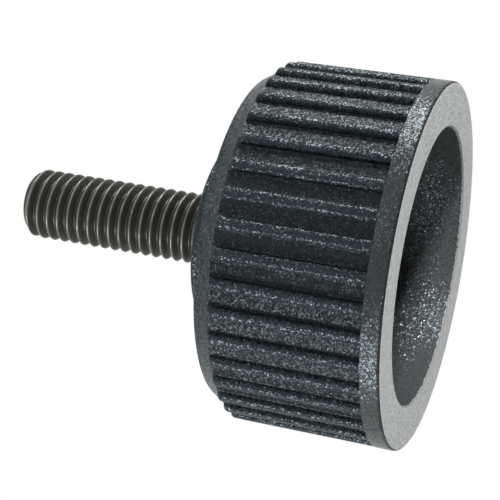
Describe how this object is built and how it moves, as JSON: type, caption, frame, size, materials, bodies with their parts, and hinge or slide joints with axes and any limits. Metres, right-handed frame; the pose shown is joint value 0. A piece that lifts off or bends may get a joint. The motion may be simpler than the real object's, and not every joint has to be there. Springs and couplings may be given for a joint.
{
  "type": "plastic-head thumb screw",
  "caption": "Thumb screw with a round ribbed plastic head, hollow at its open end, moulded round a threaded steel stud that stands out of a boss behind it.",
  "frame": {"origin": "on the screw's axis, in the plane of the flat ring that the head stands on", "axes": "+Z along the screw's axis, from the open end of the head to the stud's tip; a groove between two ribs lies on +X"},
  "size_m": [0.025, 0.025, 0.0295],
  "materials": {
    "black_plastic": "moulded glass-filled nylon, matt with a fine sparkle",
    "dark_steel": "rolled thread, darkened and oiled"
  },
  "bodies": {
    "root": {"plastic_head": "black_plastic", "threaded_stud": "dark_steel"}
  },
  "joints": []
}
